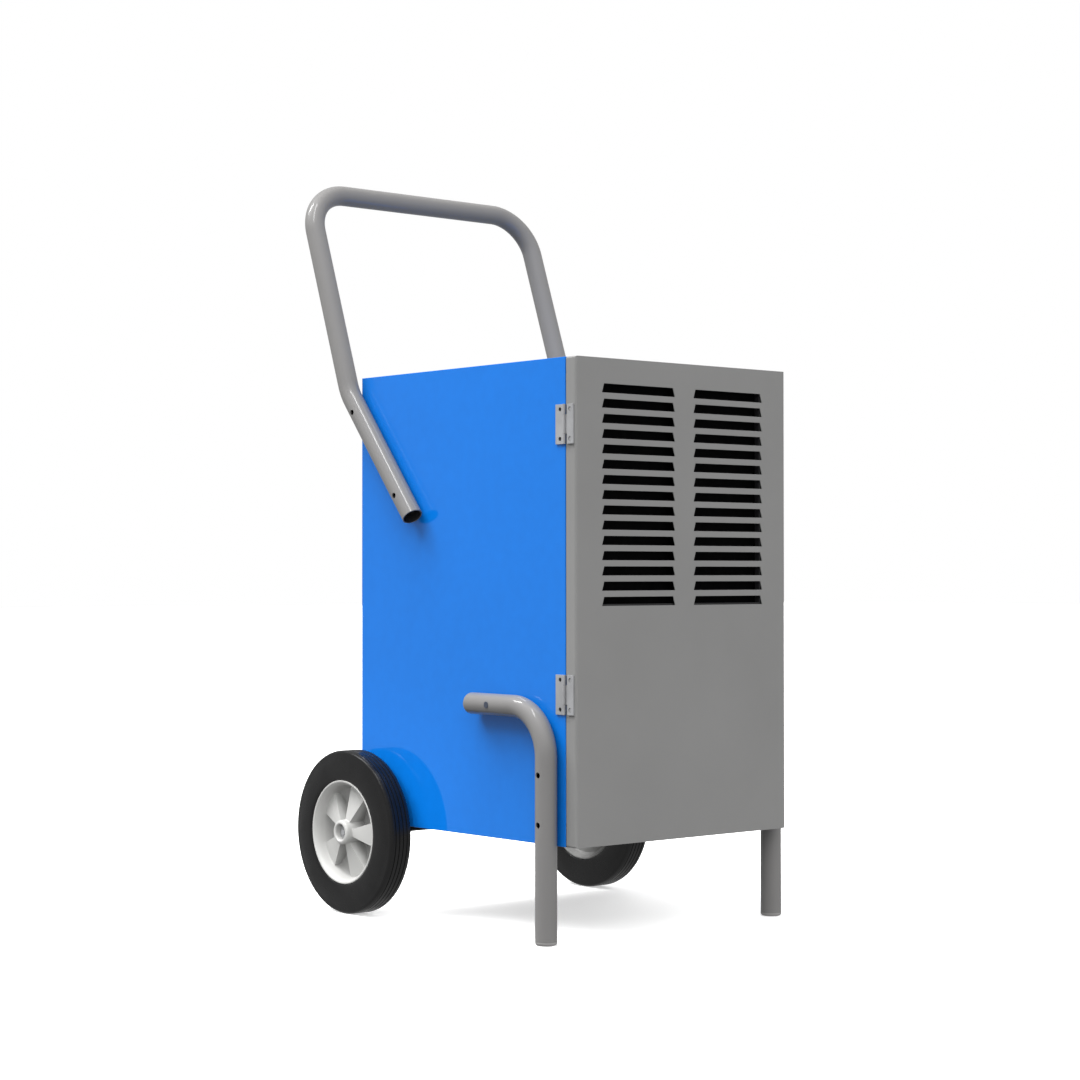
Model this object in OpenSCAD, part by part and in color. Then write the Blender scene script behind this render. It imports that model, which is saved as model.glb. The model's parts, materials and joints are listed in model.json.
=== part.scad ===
// Commercial dehumidifier on two wheels and two tube legs, with a steel cabinet,
// a louvred front door on side hinges and a bent-tube push handle.
// Millimetres. +Z is up and the door faces -Y. The origin is on the floor, under the
// centre of the bounding box. Modules are drawn in cabinet coordinates: x from the middle,
// y back from the door seam, z up from the cabinet's underside.

/* [Cabinet] */
// Width over the side panels
cab_w = 426; // [380:1:470]
// Height of the cabinet
cab_h = 700; // [660:1:760]
// Depth from the door seam to the rear panel
cab_d = 494; // [480:1:540]
// Height of the cabinet's underside above the floor
cab_lift = 140; // [136:1:160]
// Steel sheet thickness
sheet = 1.5; // [1:0.1:2]

/* [Door and louvres] */
// Depth of the folded door pan
door_d = 22; // [18:1:26]
// Outer radius of the door's folded edges
door_r = 4; // [3:0.5:6]
// Slots in each of the two columns
slot_rows = 15; // [10:1:16]
// Distance from one slot to the next
slot_pitch = 21.9; // [20:0.1:24]
// Height of a slot
slot_h = 13; // [8:0.5:15]
// Slot width along its upper edge
slot_top_w = 136; // [120:1:140]
// Slot width along its lower edge
slot_low_w = 144; // [130:1:150]
// Distance of a slot column's middle from the cabinet's middle
slot_x = 91; // [80:1:95]
// Upper edge of the highest slot
slot_top = 663; // [640:1:670]

/* [Hinges] */
// Hinge length
hinge_h = 57; // [40:1:70]
// Middle of the upper hinge
hinge_upper = 603.5; // [560:0.5:640]
// Middle of the lower hinge
hinge_lower = 217; // [200:0.5:260]
// Leaf thickness
leaf_t = 2.5; // [2:0.1:3]
// Distance between the two screws of a leaf
leaf_screws = 42.5; // [30:0.5:46]

/* [Handle and legs] */
// Tube outside diameter
tube_d = 32; // [28:1:34]
// Tube wall
tube_wall = 2; // [1.5:0.1:3]
// Bend radius of the handle's upper corners and of the legs
tube_bend = 72; // [60:1:80]
// Lean of the arms' upper lengths from upright
arm_lean = 19.5; // [15:0.5:25]
// Turn of the knee, so the lower lengths lean by the sum of both
knee_turn = 20; // [15:0.5:25]
// Straight length of an arm above its knee
arm_high_len = 283.8; // [220:0.1:300]
// Straight length of an arm below its knee
arm_low_len = 257.5; // [200:0.1:270]
// Diameter of the screw access holes
access_d = 9; // [7:0.5:11]

/* [Wheels] */
// Wheel diameter
wheel_d = 254; // [240:1:260]
// Width of the tyre
tyre_w = 45; // [38:1:50]
// Outside radius of the hub, where the tyre sits
hub_r = 78; // [74:1:84]
// Axle diameter
axle_d = 16; // [14:1:20]
// Angle of the first hub spoke above the backward direction
spoke_turn = 36.3; // [0:0.1:71.9]

/* [Fan and coils] */
// Fan opening radius
fan_r = 152; // [140:1:156]
// Fan axis height
fan_z = 500; // [480:1:520]
// Fins on each coil
fin_count = 43; // [20:1:50]
// Straight tube passes of each coil
pass_count = 11; // [8:1:12]

/* [Water tank] */
// Half width of the tank opening
tank_hw = 150; // [120:1:155]
// Upper edge of the tank opening
tank_top = 238; // [200:1:245]

/* [Hidden] */

hw = cab_w / 2;
tube_r = tube_d / 2;
tube_x = hw + tube_r;
eps = 1;
seam_gap = 0.8;
round_fn = 48;

// Corner of an arm's knee and its two screws in the arm's plane, as [y, z]
arm_knee = [504.5, 676];
arm_holes = [[367.5, 509.8], [477.6, 643.4]];
crossbar_y = arm_knee[0] + (arm_high_len + tube_bend) * sin(arm_lean);
// How far a mitred length runs past its corner, where 1 just reaches the outside of it
mitre_reach = 1.2;
// Leg line
leg_y = 25;
leg_run_z = 198;
leg_tip_y = 200.5;
leg_holes_z = [31.3, 102.4];
leg_screw_y = 141.6;

wheel_r = wheel_d / 2;
axle_y = 468.5;
axle_z = wheel_r - cab_lift;
wheel_in = hw + 13;
wheel_out = wheel_in + tyre_w;

seam_y = -(crossbar_y + tube_r - door_d) / 2;

pin_x = -hw - 2.7;
pin_y = 1.1;
pin_r = 1.25;
knuckle_r = 2.6;
// Upright plates and flanges of the axle brackets, and the screws through the flanges
bracket_x = [hw - 25, hw - 21];
flange_t = 4;
bracket_screw_x = bracket_x[0] - 16;
bracket_screw_y = [358, 432];
bracket_hole_r = 3.3;

hinge_zs = [hinge_lower, hinge_upper];
// Screw line of the body leaf and of the door leaf
leaf_hole_y = [10, -11.4];
leaf_hole_r = 3.1;

evap_y = 52;
cond_y = 104;
coil_depth = 40;
coil_low = 318;
coil_high = 682;
coil_half = 172;
coil_tube_r = 5;
pass_pitch = 34;
pass_low = 330;

shelf_z = 283;
bulkhead_y = 291;
fan_y = 186;
tank_front = 300;
tank_low = 10;
tank_wall = 3;
float_x = 90;
float_y = 345;
panel_x = 95;
panel_y = [376, 464];
comp_x = -105;
comp_y = 150;

function unit(v) = v / norm(v);
function row_positions(n, pitch) = [for (i = [0:n - 1]) (i - (n - 1) / 2) * pitch];

// Puts cabinet coordinates into the part's own frame
module in_cabinet() translate([0, seam_y, cab_lift]) children();

// A block given by its low and high corners
module block(low, high) translate(low) cube(high - low);

module both_sides() {
    children();
    mirror([1, 0, 0]) children();
}

// Turns +Z onto the direction u
module aim(u) {
    side = norm(cross([0, 0, 1], u)) < 0.001 ? [1, 0, 0] : unit(cross([0, 0, 1], u));
    up = cross(u, side);
    multmatrix([
        [side.x, up.x, u.x, 0],
        [side.y, up.y, u.y, 0],
        [side.z, up.z, u.z, 0]
    ]) children();
}

// Round section of radius r, hollow when bore is given
module section(r, bore = 0) {
    difference() {
        circle(r = r, $fn = round_fn);
        if (bore > 0) circle(r = bore, $fn = round_fn);
    }
}

module rod(from, to, r, bore = 0) {
    translate(from) aim(unit(to - from)) linear_extrude(height = norm(to - from)) section(r, bore);
}

// A bar or tube of radius r through the points, with one bend radius for each inner point
module bent_rod(points, bends, r, bore = 0) {
    last = len(points) - 1;
    function leg(i) = unit(points[i + 1] - points[i]);
    function turn(i) = (i == 0 || i == last) ? 0 : acos(leg(i - 1) * leg(i));
    function setback(i) = (i == 0 || i == last) ? 0 : bends[i - 1] * tan(turn(i) / 2);
    for (i = [0:last - 1])
        rod(points[i] + leg(i) * setback(i), points[i + 1] - leg(i) * setback(i + 1), r, bore);
    for (i = [1:1:last - 1]) {
        along = leg(i - 1);
        inward = (leg(i) - along * cos(turn(i))) / sin(turn(i));
        normal = cross(along, inward);
        centre = points[i] - along * setback(i) + inward * bends[i - 1];
        multmatrix([
            [-inward.x, along.x, normal.x, centre.x],
            [-inward.y, along.y, normal.y, centre.y],
            [-inward.z, along.z, normal.z, centre.z]
        ]) rotate_extrude(angle = turn(i), $fn = round_fn)
            translate([bends[i - 1], 0]) section(r, bore);
    }
}

// ---- Cabinet ----

// The two columns of slots, cut from front to back between y_low and y_high
module louvre_cut(y_low, y_high) {
    for (side = [-1, 1], row = [0:slot_rows - 1])
        translate([side * slot_x, y_high, slot_top - row * slot_pitch])
            rotate([90, 0, 0])
                linear_extrude(height = y_high - y_low)
                    polygon([
                        [-slot_top_w / 2, 0], [slot_top_w / 2, 0],
                        [slot_low_w / 2, -slot_h], [-slot_low_w / 2, -slot_h]
                    ]);
}

module base_tray() {
    in_side = hw - sheet - 0.2;
    rear = cab_d - sheet - 0.5;
    lip = 26;
    rib = tank_low;
    in_cabinet() color("DimGray") {
        difference() {
            block([-in_side, seam_gap + 1, 0], [in_side, rear, lip]);
            block([-in_side + sheet, seam_gap + 1 + sheet, sheet], [in_side - sheet, rear + eps, lip + eps]);
            both_sides() for (y = bracket_screw_y)
                translate([bracket_screw_x, y, -1]) cylinder(h = 2 + sheet, r = bracket_hole_r, $fn = 24);
        }
        both_sides()
            block([80, bulkhead_y + 12, sheet], [104, rear - 6, rib]);
    }
}

module side_panel() {
    flange = 16;
    low = 34;
    high = cab_h - low;
    block([hw - sheet, seam_gap, 0], [hw, cab_d, cab_h]);
    for (y = [seam_gap, cab_d - 2 * sheet - 0.2])
        block([hw - flange, y, low], [hw - sheet, y + sheet, high]);
}

module right_side_panel() in_cabinet() color("DodgerBlue") side_panel();
module left_side_panel() in_cabinet() color("DodgerBlue") mirror([1, 0, 0]) side_panel();

module top_cover() {
    in_side = hw - sheet - 0.2;
    skirt = 24;
    in_cabinet() color("DodgerBlue") difference() {
        block([-in_side, seam_gap, cab_h - skirt], [in_side, cab_d, cab_h]);
        block(
            [-in_side + sheet, seam_gap + sheet, cab_h - skirt - eps],
            [in_side - sheet, cab_d - sheet, cab_h - sheet]
        );
        block([-panel_x, panel_y[0], cab_h - 2 * sheet], [panel_x, panel_y[1], cab_h + eps]);
    }
}

inlet_x = -150;
rocker_x = -88;
socket_z = 312;
inlet_cut = [28, 24];
rocker_cut = [28, 22];

module rear_panel() {
    in_side = hw - sheet - 0.2;
    low = 4;
    high = cab_h - 26;
    in_cabinet() color("Gray") difference() {
        block([-in_side, cab_d - sheet, low], [in_side, cab_d, high]);
        louvre_cut(cab_d - 2 * sheet, cab_d + eps);
        block([-tank_hw, cab_d - 2 * sheet, low - eps], [tank_hw, cab_d + eps, tank_top]);
        for (cut = [[inlet_x, inlet_cut], [rocker_x, rocker_cut]])
            block(
                [cut[0] - cut[1][0] / 2, cab_d - 2 * sheet, socket_z - cut[1][1] / 2],
                [cut[0] + cut[1][0] / 2, cab_d + eps, socket_z + cut[1][1] / 2]
            );
    }
}

hose_hole = [60, 80];
hose_run_z = 250;
pipe_hole = [-185, 78];

module divider_shelf() {
    in_side = hw - 18;
    in_cabinet() color("Silver") difference() {
        block([-in_side, 24, shelf_z], [in_side, cab_d - 6, shelf_z + sheet]);
        translate([hose_hole[0], hose_hole[1], shelf_z - eps])
            cylinder(h = 4, r = 14, $fn = round_fn);
        block(
            [pipe_hole[0] - 20, pipe_hole[1] - 46, shelf_z - eps],
            [pipe_hole[0] + 8, pipe_hole[1] + 46, shelf_z + 4]
        );
    }
}

module tank_bulkhead() {
    in_side = hw - 18;
    in_cabinet() color("Silver") difference() {
        block([-in_side, bulkhead_y, sheet], [in_side, bulkhead_y + sheet, shelf_z]);
        translate([hose_hole[0], bulkhead_y - eps, hose_run_z]) rotate([-90, 0, 0])
            cylinder(h = 4, r = 13, $fn = round_fn);
    }
}

// Pan-head screws that hold the rear panel, and the screws of the axle brackets
module panel_screws() {
    head_r = 4;
    head_h = 2;
    shank_r = 1.9;
    in_cabinet() color("Silver") {
        for (x = [-hw + 10, hw - 10], z = [50, 260, 470, 664])
            translate([x, cab_d, z]) rotate([-90, 0, 0]) {
                cylinder(h = head_h, r = head_r, $fn = 24);
                translate([0, 0, -8]) cylinder(h = 8 + eps, r = shank_r, $fn = 24);
            }
        both_sides() for (y = bracket_screw_y)
            translate([bracket_screw_x, y, -flange_t - head_h]) {
                cylinder(h = head_h, r = 5.5, $fn = 24);
                cylinder(h = head_h + flange_t + sheet + 5, r = bracket_hole_r - 0.1, $fn = 24);
            }
    }
}

// ---- Door ----

module door_profile(inset) {
    r = door_r - inset;
    x = hw - inset;
    front = -door_d + inset;
    back = -seam_gap + (inset > 0 ? eps : 0);
    translate([-x, front + r]) square([2 * x, back - front - r]);
    translate([-x + r, front]) square([2 * (x - r), r + 0.01]);
    for (side = [-1, 1])
        translate([side * (x - r), front + r]) circle(r = r, $fn = round_fn);
}

// Front view of the door, whose welded corners are ground round
module door_outline() {
    r = 3.5;
    translate([-hw, r]) square([2 * hw, cab_h - 2 * r]);
    translate([-hw + r, 0]) square([2 * (hw - r), cab_h]);
    for (x = [-hw + r, hw - r], z = [r, cab_h - r])
        translate([x, z]) circle(r = r, $fn = round_fn);
}

// Heights of the two magnets that hold the door shut, and of the door's tabs they grip
magnet_zs = [180, 520];

// Folded pan with a finger notch and two magnet tabs on its free edge
module front_door() {
    grip_z = [320, 380];
    in_cabinet() color("Gray") {
        difference() {
            intersection() {
                linear_extrude(height = cab_h) door_profile(0);
                rotate([90, 0, 0]) linear_extrude(height = door_d + eps) door_outline();
            }
            translate([0, 0, sheet]) linear_extrude(height = cab_h - 2 * sheet) door_profile(sheet);
            louvre_cut(-door_d - eps, -door_d + 2 * sheet);
            block([hw - 2 * sheet, -9, grip_z[0]], [hw + eps, 0, grip_z[1]]);
        }
        for (z = magnet_zs)
            block([hw - 38, -seam_gap - sheet, z - 22], [hw - sheet / 2, -seam_gap, z + 22]);
    }
}

// Leaf plate with its two screw holes; toward is +1 for the body leaf and -1 for the door leaf.
// A thinner web joins the plate to its knuckles, so a groove runs along the knuckles.
module hinge_leaf(toward) {
    web_t = 1.2;
    near = toward > 0 ? 3.8 : -5.5;
    far = toward > 0 ? 19.6 : -18.2;
    hole_y = toward > 0 ? leaf_hole_y[0] : leaf_hole_y[1];
    grip_high = hinge_h / 4 - 0.15;
    spans = toward > 0
        ? [[-hinge_h / 2, -grip_high], [grip_high, hinge_h / 2]]
        : [[-grip_high + 0.3, grip_high - 0.3]];
    difference() {
        union() {
            block([-hw - leaf_t, min(near, far), -hinge_h / 2], [-hw, max(near, far), hinge_h / 2]);
            for (span = spans) {
                block([-hw - web_t - 0.2, min(pin_y, near), span[0]], [-hw - 0.2, max(pin_y, near), span[1]]);
                translate([pin_x, pin_y, span[0]])
                    cylinder(h = span[1] - span[0], r = knuckle_r, $fn = round_fn);
            }
        }
        translate([pin_x, pin_y, -hinge_h])
            cylinder(h = 2 * hinge_h, r = pin_r + 0.05, $fn = round_fn);
        for (z = [-leaf_screws / 2, leaf_screws / 2])
            translate([-hw - leaf_t - eps, hole_y, z]) rotate([0, 90, 0])
                cylinder(h = leaf_t + 2 * eps, r = leaf_hole_r, $fn = round_fn);
    }
}

module hinge_body_leaves() {
    in_cabinet() color("Silver") for (z = hinge_zs) translate([0, 0, z]) hinge_leaf(1);
}

module hinge_door_leaves() {
    in_cabinet() color("Silver") for (z = hinge_zs) translate([0, 0, z]) hinge_leaf(-1);
}

module hinge_pins() {
    in_cabinet() color("DimGray") for (z = hinge_zs)
        translate([pin_x, pin_y, z - hinge_h / 2]) cylinder(h = hinge_h, r = pin_r, $fn = round_fn);
}

// Screws in a leaf's holes, sunk by a depth below the leaf's face
module leaf_screw_set(y, sink, head_r) {
    for (z = hinge_zs, dz = [-leaf_screws / 2, leaf_screws / 2])
        translate([-hw - leaf_t + sink, y, z + dz]) rotate([0, 90, 0]) {
            cylinder(h = leaf_t - sink, r = head_r, $fn = 24);
            cylinder(h = leaf_t + 6, r = 1.4, $fn = 24);
        }
}

module hinge_body_screws() in_cabinet() color("Black") leaf_screw_set(leaf_hole_y[0], 1, 2.9);
module hinge_door_screws() in_cabinet() color("Gray") leaf_screw_set(leaf_hole_y[1], 0.8, 2.6);

module door_magnets() {
    in_cabinet() color("Black") for (z = magnet_zs)
        block([hw - 38, seam_gap - 0.6, z - 22], [hw - 16, seam_gap + 14, z + 22]);
}

filter_hw = 180;
filter_low = 334;
filter_high = 676;
filter_y = [-19, -9];
filter_rail = 12;
filter_rib_x = 160;

module filter_frame() {
    in_cabinet() color("Black") difference() {
        block([-filter_hw, filter_y[0], filter_low], [filter_hw, filter_y[1], filter_high]);
        for (side = [-1, 1]) {
            edge = side > 0 ? [1.5, filter_rib_x] : [-filter_rib_x, -1.5];
            block(
                [edge[0], filter_y[0] - eps, filter_low + filter_rail],
                [edge[1], filter_y[1] + eps, filter_high - filter_rail]
            );
            outer = side > 0 ? [filter_rib_x + 3, filter_hw - 4] : [-filter_hw + 4, -filter_rib_x - 3];
            block(
                [outer[0], filter_y[0] - eps, filter_low + filter_rail],
                [outer[1], filter_y[1] + eps, filter_high - filter_rail]
            );
        }
    }
}

// Washable mesh: upright strands crossed by level ones
module filter_mesh() {
    half = filter_hw - 2;
    low = filter_low + 2;
    high = filter_high - 2;
    strand = 1.2;
    front = filter_y[1];
    in_cabinet() color("DimGray") {
        block([-half, front, low], [half, front + 0.5, high]);
        for (x = row_positions(36, 10))
            block([x - strand / 2, front, low], [x + strand / 2, front + 1, high]);
    }
}

// ---- Handle and legs ----

// The handle as a solid bar of radius r, with its open ends lengthened by extra. The knees
// are mitred: both lengths run on a little past the corner, so that they meet on its outside.
module handle_bar(r, extra) {
    overlap = mitre_reach * r * tan(knee_turn / 2);
    span = tube_x - tube_bend;
    translate([0, arm_knee[0], arm_knee[1]]) rotate([-arm_lean, 0, 0]) {
        translate([-span, 0, arm_high_len + tube_bend]) rotate([0, 90, 0])
            cylinder(h = 2 * span, r = r, $fn = round_fn);
        both_sides() {
            translate([span, 0, arm_high_len]) rotate([90, 0, 0])
                rotate_extrude(angle = 90, $fn = round_fn)
                    translate([tube_bend, 0]) circle(r = r, $fn = round_fn);
            translate([tube_x, 0, -overlap]) cylinder(h = arm_high_len + overlap, r = r, $fn = round_fn);
            translate([tube_x, 0, 0]) rotate([180 - knee_turn, 0, 0])
                translate([0, 0, -overlap])
                    cylinder(h = arm_low_len + overlap + extra, r = r, $fn = round_fn);
        }
    }
}

module access_hole(y, z) {
    translate([tube_x + tube_r / 4, y, z]) rotate([0, 90, 0])
        cylinder(h = tube_r, d = access_d, $fn = round_fn);
}

module handle_tube() {
    in_cabinet() color("Gray") difference() {
        handle_bar(tube_r, 0);
        handle_bar(tube_r - tube_wall, eps);
        both_sides() for (hole = arm_holes) access_hole(hole[0], hole[1]);
    }
}

foot_h = 5;

module leg_tube() {
    tip_r = 7;
    points = [
        [tube_x, leg_tip_y - tip_r, leg_run_z], [tube_x, leg_y, leg_run_z],
        [tube_x, leg_y, foot_h - cab_lift]
    ];
    difference() {
        union() {
            bent_rod(points, [tube_bend], tube_r, tube_r - tube_wall);
            translate([tube_x, leg_tip_y - tip_r, leg_run_z]) rotate([-90, 0, 0])
                rotate_extrude($fn = round_fn) {
                    translate([0, -2]) square([tube_r - tip_r, tip_r + 2]);
                    translate([0, -2]) square([tube_r - tube_wall, 4]);
                    intersection() {
                        translate([tube_r - tip_r, 0]) circle(r = tip_r, $fn = round_fn);
                        translate([0, 0]) square([tube_r, tip_r]);
                    }
                }
        }
        for (z = leg_holes_z) access_hole(leg_y, z);
    }
}

module right_leg_tube() in_cabinet() color("Gray") leg_tube();
module left_leg_tube() in_cabinet() color("Gray") mirror([1, 0, 0]) leg_tube();

// Plugs in the open lower ends of the legs; they stand on the floor
module leg_foot_plugs() {
    edge = 3;
    stem = 18;
    in_cabinet() color("DimGray") both_sides()
        translate([tube_x, leg_y, -cab_lift]) rotate_extrude($fn = round_fn) {
            polygon([
                [0, 0], [tube_r - edge, 0], [tube_r - edge / 3, edge / 3], [tube_r, edge],
                [tube_r, foot_h], [tube_r - tube_wall - 0.05, foot_h],
                [tube_r - tube_wall - 0.05, stem], [0, stem]
            ]);
        }
}

// Screws that clamp the tubes to the side panels: heads inside the tube behind the access
// holes, and one long screw with its head outside on each leg's upper run
module tube_screws() {
    shank_r = 3;
    head_r = 4.2;
    outer_head_r = 4.9;
    in_cabinet() color("Gray") both_sides() {
        for (at = concat(arm_holes, [for (z = leg_holes_z) [leg_y, z]]))
            translate([hw, at[0], at[1]]) rotate([0, 90, 0]) {
                translate([0, 0, tube_wall]) cylinder(h = 4, r = head_r, $fn = 24);
                translate([0, 0, -8]) cylinder(h = 8 + tube_wall + eps, r = shank_r, $fn = 24);
            }
        translate([hw, leg_screw_y, leg_run_z]) rotate([0, 90, 0]) {
            translate([0, 0, -8]) cylinder(h = 8 + tube_d, r = shank_r, $fn = 24);
            translate([0, 0, tube_d - 0.4]) cylinder(h = 1, r = outer_head_r, $fn = 24);
        }
    }
}

// ---- Wheels ----

bore_clear = 0.06;
boss_r = 19;
boss_in = 3;
boss_out = tyre_w + 3;
// The boss widens here, outside the axle's end, so that a washer can hold the wheel
boss_step = 36;
cup_r = 12;
axle_half = wheel_in + boss_step + 0.3;

module axle() {
    in_cabinet() color("Silver") translate([-axle_half, axle_y, axle_z]) rotate([0, 90, 0])
        cylinder(h = 2 * axle_half, d = axle_d, $fn = round_fn);
}

bracket_drop = 27;

module axle_brackets() {
    front = 340;
    rear = 486;
    // The bracket stays shallow until it is behind the tyre
    shallow_to = [392, -9];
    in_cabinet() color("DimGray") both_sides() difference() {
        union() {
            translate([bracket_x[0], 0, 0]) rotate([90, 0, 90])
                linear_extrude(height = bracket_x[1] - bracket_x[0])
                    polygon([
                        [front, 0], [front, -flange_t], shallow_to,
                        [425, -bracket_drop], [rear, -bracket_drop], [rear, 0]
                    ]);
            block([bracket_x[0] - 30, front, -flange_t], [bracket_x[0] + eps, rear, 0]);
        }
        translate([0, axle_y, axle_z]) rotate([0, 90, 0])
            cylinder(h = hw, d = axle_d + 0.2, $fn = round_fn);
        for (y = bracket_screw_y)
            translate([bracket_screw_x, y, -flange_t - 1]) cylinder(h = 6, r = bracket_hole_r, $fn = 24);
    }
}

// Everything on a wheel is turned about the axle: r is the radius and s runs outwards
// from the wheel's inner face
module lathe(points) {
    translate([wheel_in, axle_y, axle_z]) rotate([0, 90, 0])
        rotate_extrude($fn = 96) polygon(points);
}

module wheel_hub() {
    lip_r = hub_r + 2.8;
    mouth_r = hub_r - 0.5;
    floor_r = hub_r - 8;
    web = [17, 22];
    // The spokes rise from the rim towards the boss
    spoke_low = 26.5;
    spoke_high = 37.5;
    bore = axle_d / 2 + bore_clear;
    lathe([
        [bore, boss_in], [boss_r, boss_in], [boss_r, web[0]], [floor_r, web[0]],
        [mouth_r, 1.5], [lip_r, 1.5], [lip_r, 4], [hub_r, 4], [hub_r, tyre_w - 4],
        [lip_r, tyre_w - 4], [lip_r, tyre_w - 1.2], [mouth_r, tyre_w - 1.2],
        [floor_r, web[1]], [boss_r, web[1]], [boss_r, boss_out], [cup_r, boss_out],
        [cup_r, boss_step], [bore, boss_step]
    ]);
    intersection() {
        translate([wheel_in + web[1] - 1, axle_y, axle_z]) rotate([90, 0, 90])
            linear_extrude(height = spoke_high - web[1] + 1)
                for (k = [0:4]) rotate(spoke_turn + 72 * k)
                    polygon([[9, -4], [9, 4], [80, 26], [80, -26]]);
        lathe([
            [boss_r - 1.5, web[0] + 2], [floor_r + 2, web[0] + 2],
            [floor_r + 3, spoke_low], [boss_r - 1.5, spoke_high]
        ]);
    }
}

module tyre() {
    lip_r = hub_r + 2.9;
    tread = [6.4, 38];
    groove = 1.4;
    shoulder = wheel_r - 5;
    lathe(concat(
        [
            [hub_r, 4.1], [lip_r, 4.1], [lip_r, 1], [wheel_r - 29, 0], [wheel_r - 14, 1.4],
            [shoulder, 3], [wheel_r - 1.6, 4.6], [wheel_r, tread[0] + 0.6]
        ],
        [for (k = [0:3]) each [
            [wheel_r, 11 + 7 * k], [wheel_r - groove, 11.3 + 7 * k],
            [wheel_r - groove, 12.1 + 7 * k], [wheel_r, 12.4 + 7 * k]
        ]],
        [
            [wheel_r, tread[1]], [wheel_r - 1.6, tyre_w - 4.6], [shoulder, tyre_w - 3],
            [wheel_r - 14, tyre_w - 1.4], [wheel_r - 29, tyre_w], [lip_r, tyre_w - 1],
            [lip_r, tyre_w - 4.1], [hub_r, tyre_w - 4.1]
        ]
    ));
}

module right_wheel_hub() in_cabinet() color("White") wheel_hub();
module left_wheel_hub() in_cabinet() color("White") mirror([1, 0, 0]) wheel_hub();
module right_tyre() in_cabinet() color("Black") tyre();
module left_tyre() in_cabinet() color("Black") mirror([1, 0, 0]) tyre();

// Tubes on the axle that hold each wheel clear of the cabinet
module axle_spacers() {
    from = bracket_x[1] + 0.2;
    to = wheel_in + boss_in - 0.3;
    in_cabinet() color("DimGray") both_sides()
        translate([from, axle_y, axle_z]) rotate([0, 90, 0]) difference() {
            cylinder(h = to - from, r = 10.8, $fn = round_fn);
            translate([0, 0, -eps]) cylinder(h = to - from + 2 * eps, d = axle_d + 0.1, $fn = round_fn);
        }
}

// Screw and washer in each axle end, deep in the hub's boss
module axle_end_screws() {
    head_r = 5;
    in_cabinet() color("DimGray") both_sides()
        translate([axle_half, axle_y, axle_z]) rotate([0, 90, 0]) {
            cylinder(h = 2, r = cup_r - 0.5, $fn = round_fn);
            cylinder(h = 6, r = head_r, $fn = 6);
        }
}

// ---- Refrigeration ----

module fins(y) {
    pitch = 2 * coil_half / (fin_count - 1);
    for (x = row_positions(fin_count, pitch))
        block([x - 0.4, y - coil_depth / 2, coil_low], [x + 0.4, y + coil_depth / 2, coil_high]);
}

// One serpentine tube with half-circle return bends outside the end plates
module serpentine(y) {
    reach = coil_half + 8;
    for (i = [0:pass_count - 1])
        rod([-reach, y, pass_low + i * pass_pitch], [reach, y, pass_low + i * pass_pitch], coil_tube_r);
    for (i = [0:pass_count - 2]) {
        side = i % 2 == 0 ? 1 : -1;
        translate([side * reach, y, pass_low + (i + 0.5) * pass_pitch])
            rotate([90, side > 0 ? 0 : 180, 0]) rotate([0, 0, -90])
                rotate_extrude(angle = 180, $fn = round_fn)
                    translate([pass_pitch / 2, 0]) circle(r = coil_tube_r, $fn = round_fn);
    }
}

module evaporator_fins() in_cabinet() color("LightGray") fins(evap_y);
module condenser_fins() in_cabinet() color("LightGray") fins(cond_y);
module evaporator_coil() in_cabinet() color("Peru") serpentine(evap_y);
module condenser_coil() in_cabinet() color("Peru") serpentine(cond_y);

module coil_end_plates() {
    in_cabinet() color("Silver") both_sides()
        block(
            [coil_half + 3, evap_y - 24, coil_low - 3],
            [coil_half + 3 + sheet, cond_y + 24, coil_high + 3]
        );
}

module compressor() {
    shell_r = 60;
    low = 30;
    high = 205;
    in_cabinet() color("Black") translate([comp_x, comp_y, 0]) {
        rotate_extrude($fn = 72) polygon([
            [0, low], [30, low], [50, low + 8], [shell_r, low + 24], [shell_r, high - 28],
            [54, high - 12], [38, high - 3], [18, high], [0, high]
        ]);
        difference() {
            block([-78, -62, 18], [78, 62, 22]);
            for (x = [-66, 66], y = [-50, 50])
                translate([x, y, 17]) cylinder(h = 6, r = 5, $fn = round_fn);
        }
        translate([0, 0, 21]) cylinder(h = 12, r = 34, $fn = round_fn);
        translate([-shell_r - 13, 0, 160]) rotate([0, 90, 0]) cylinder(h = 20, r = 6, $fn = round_fn);
    }
}

module compressor_grommets() {
    in_cabinet() color("DimGray") for (x = [-66, 66], y = [-50, 50])
        translate([comp_x + x, comp_y + y, sheet]) {
            cylinder(h = 18 - sheet, r = 11, $fn = round_fn);
            cylinder(h = 26 - sheet, r = 4.8, $fn = round_fn);
        }
}

// Line on which the vertical pipes run, beside the coils' end plates
pipe_x = coil_half + 20;
port_x = coil_half + 8.3;
port_top = pass_low + (pass_count - 1) * pass_pitch;
pipe_r = 4;

module suction_pipe() {
    stub_x = comp_x - 73.3;
    port_z = 160;
    in_cabinet() color("Peru") bent_rod([
        [-port_x, evap_y, pass_low], [-pipe_x, evap_y, pass_low], [-pipe_x, evap_y, port_z],
        [-pipe_x, comp_y, port_z], [stub_x, comp_y, port_z]
    ], [8, 12, 10], pipe_r);
}

module discharge_pipe() {
    run_z = 245;
    in_cabinet() color("Peru") bent_rod([
        [comp_x, comp_y, 205.3], [comp_x, comp_y, run_z], [-pipe_x, comp_y, run_z],
        [-pipe_x, cond_y, run_z], [-pipe_x, cond_y, pass_low], [-port_x, cond_y, pass_low]
    ], [12, 12, 12, 8], pipe_r);
}

// The drier and the capillary run between the two coils' return bends
drier_x = coil_half + 21;
drier_y = (evap_y + cond_y) / 2;
drier_z = [560, 640];
capillary_y = evap_y + 12;

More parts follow.
